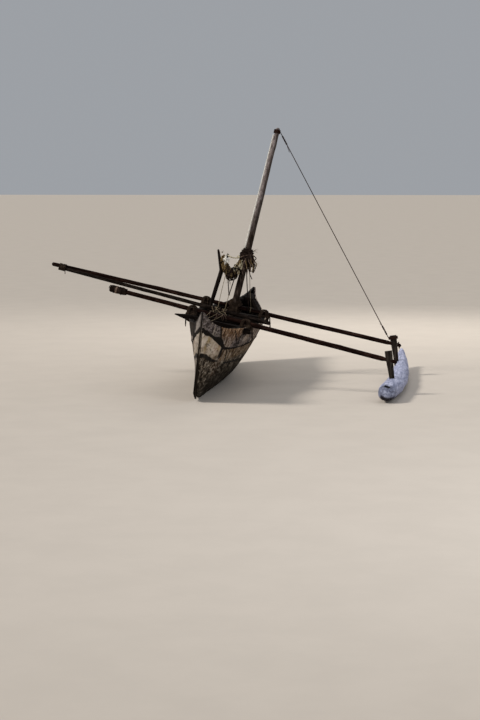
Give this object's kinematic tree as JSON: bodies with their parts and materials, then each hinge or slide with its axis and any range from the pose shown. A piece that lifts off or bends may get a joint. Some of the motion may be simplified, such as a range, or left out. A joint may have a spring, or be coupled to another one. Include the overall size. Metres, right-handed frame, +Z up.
{
  "type": "outrigger canoe",
  "caption": "Weathered dugout sailing canoe with planked topsides, raked mast, outrigger float on long lashed booms, a spare spar and a slung bundle of old rope.",
  "frame": {"origin": "on the ground, under the middle of the whole canoe", "axes": "+X towards the bow, along the keel; +Y to port, the float side; +Z up. The hull lies heeled towards the float by 9.7 degrees, as it parks."},
  "size_m": [4.6046, 3.7248, 2.5693],
  "materials": {
    "dugout": "weathered dugout timber, old grey-white coating worn to dark wood, tarred seams",
    "strake": "weathered grey-white painted plank with rust-coloured streaks",
    "inner": "bare dark weathered timber, matt",
    "boom": "dark reddish-brown bare poles, matt",
    "pole": "dark bare poles, matt",
    "mast": "silvered grey-brown bare pole, matt",
    "post": "dark split timber, matt",
    "float": "pale bluish-white weathered coating on a shaped log",
    "rope": "old frayed plant-fibre rope and cloth, matt",
    "stay": "thin dark tarred rope, matt"
  },
  "bodies": {
    "root": {"dugout_base": "dugout", "stem_strip_bow": "dugout", "stem_strip_stern": "dugout", "strake_port_fore": "strake", "strake_port_mid": "strake", "strake_port_aft": "strake", "strake_starboard_fore": "strake", "strake_starboard_mid": "strake", "strake_starboard_aft": "strake", "crossbeam_fore": "inner", "inwale_port": "inner", "inwale_starboard": "inner", "breasthook_bow": "inner", "breasthook_stern": "inner", "thwart_stern": "inner", "thwart_aft": "inner", "thwart_mast": "inner", "thwart_mid": "inner", "thwart_fore": "inner", "thwart_bow": "inner", "mast_step": "inner", "rib_1": "inner", "rib_2": "inner", "rib_3": "inner", "rib_4": "inner", "rib_5": "inner", "saddle_fore_port": "inner", "saddle_fore_starboard": "inner", "saddle_aft_port": "inner", "saddle_aft_starboard": "inner", "boom_fore": "boom", "boom_aft": "boom", "spar": "pole", "crutch": "pole", "mast": "mast", "post_fore": "post", "post_aft": "post", "key_fore": "post", "key_aft": "post", "float": "float", "lashing_fore_port": "rope", "lashing_fore_starboard": "rope", "lashing_aft_port": "rope", "lashing_aft_starboard": "rope", "lashing_mast": "rope", "lashing_spar_tip": "rope", "rope_wrap": "rope", "rope_bundle": "rope", "grip_boom_fore": "rope", "stay": "stay"}
  },
  "joints": []
}
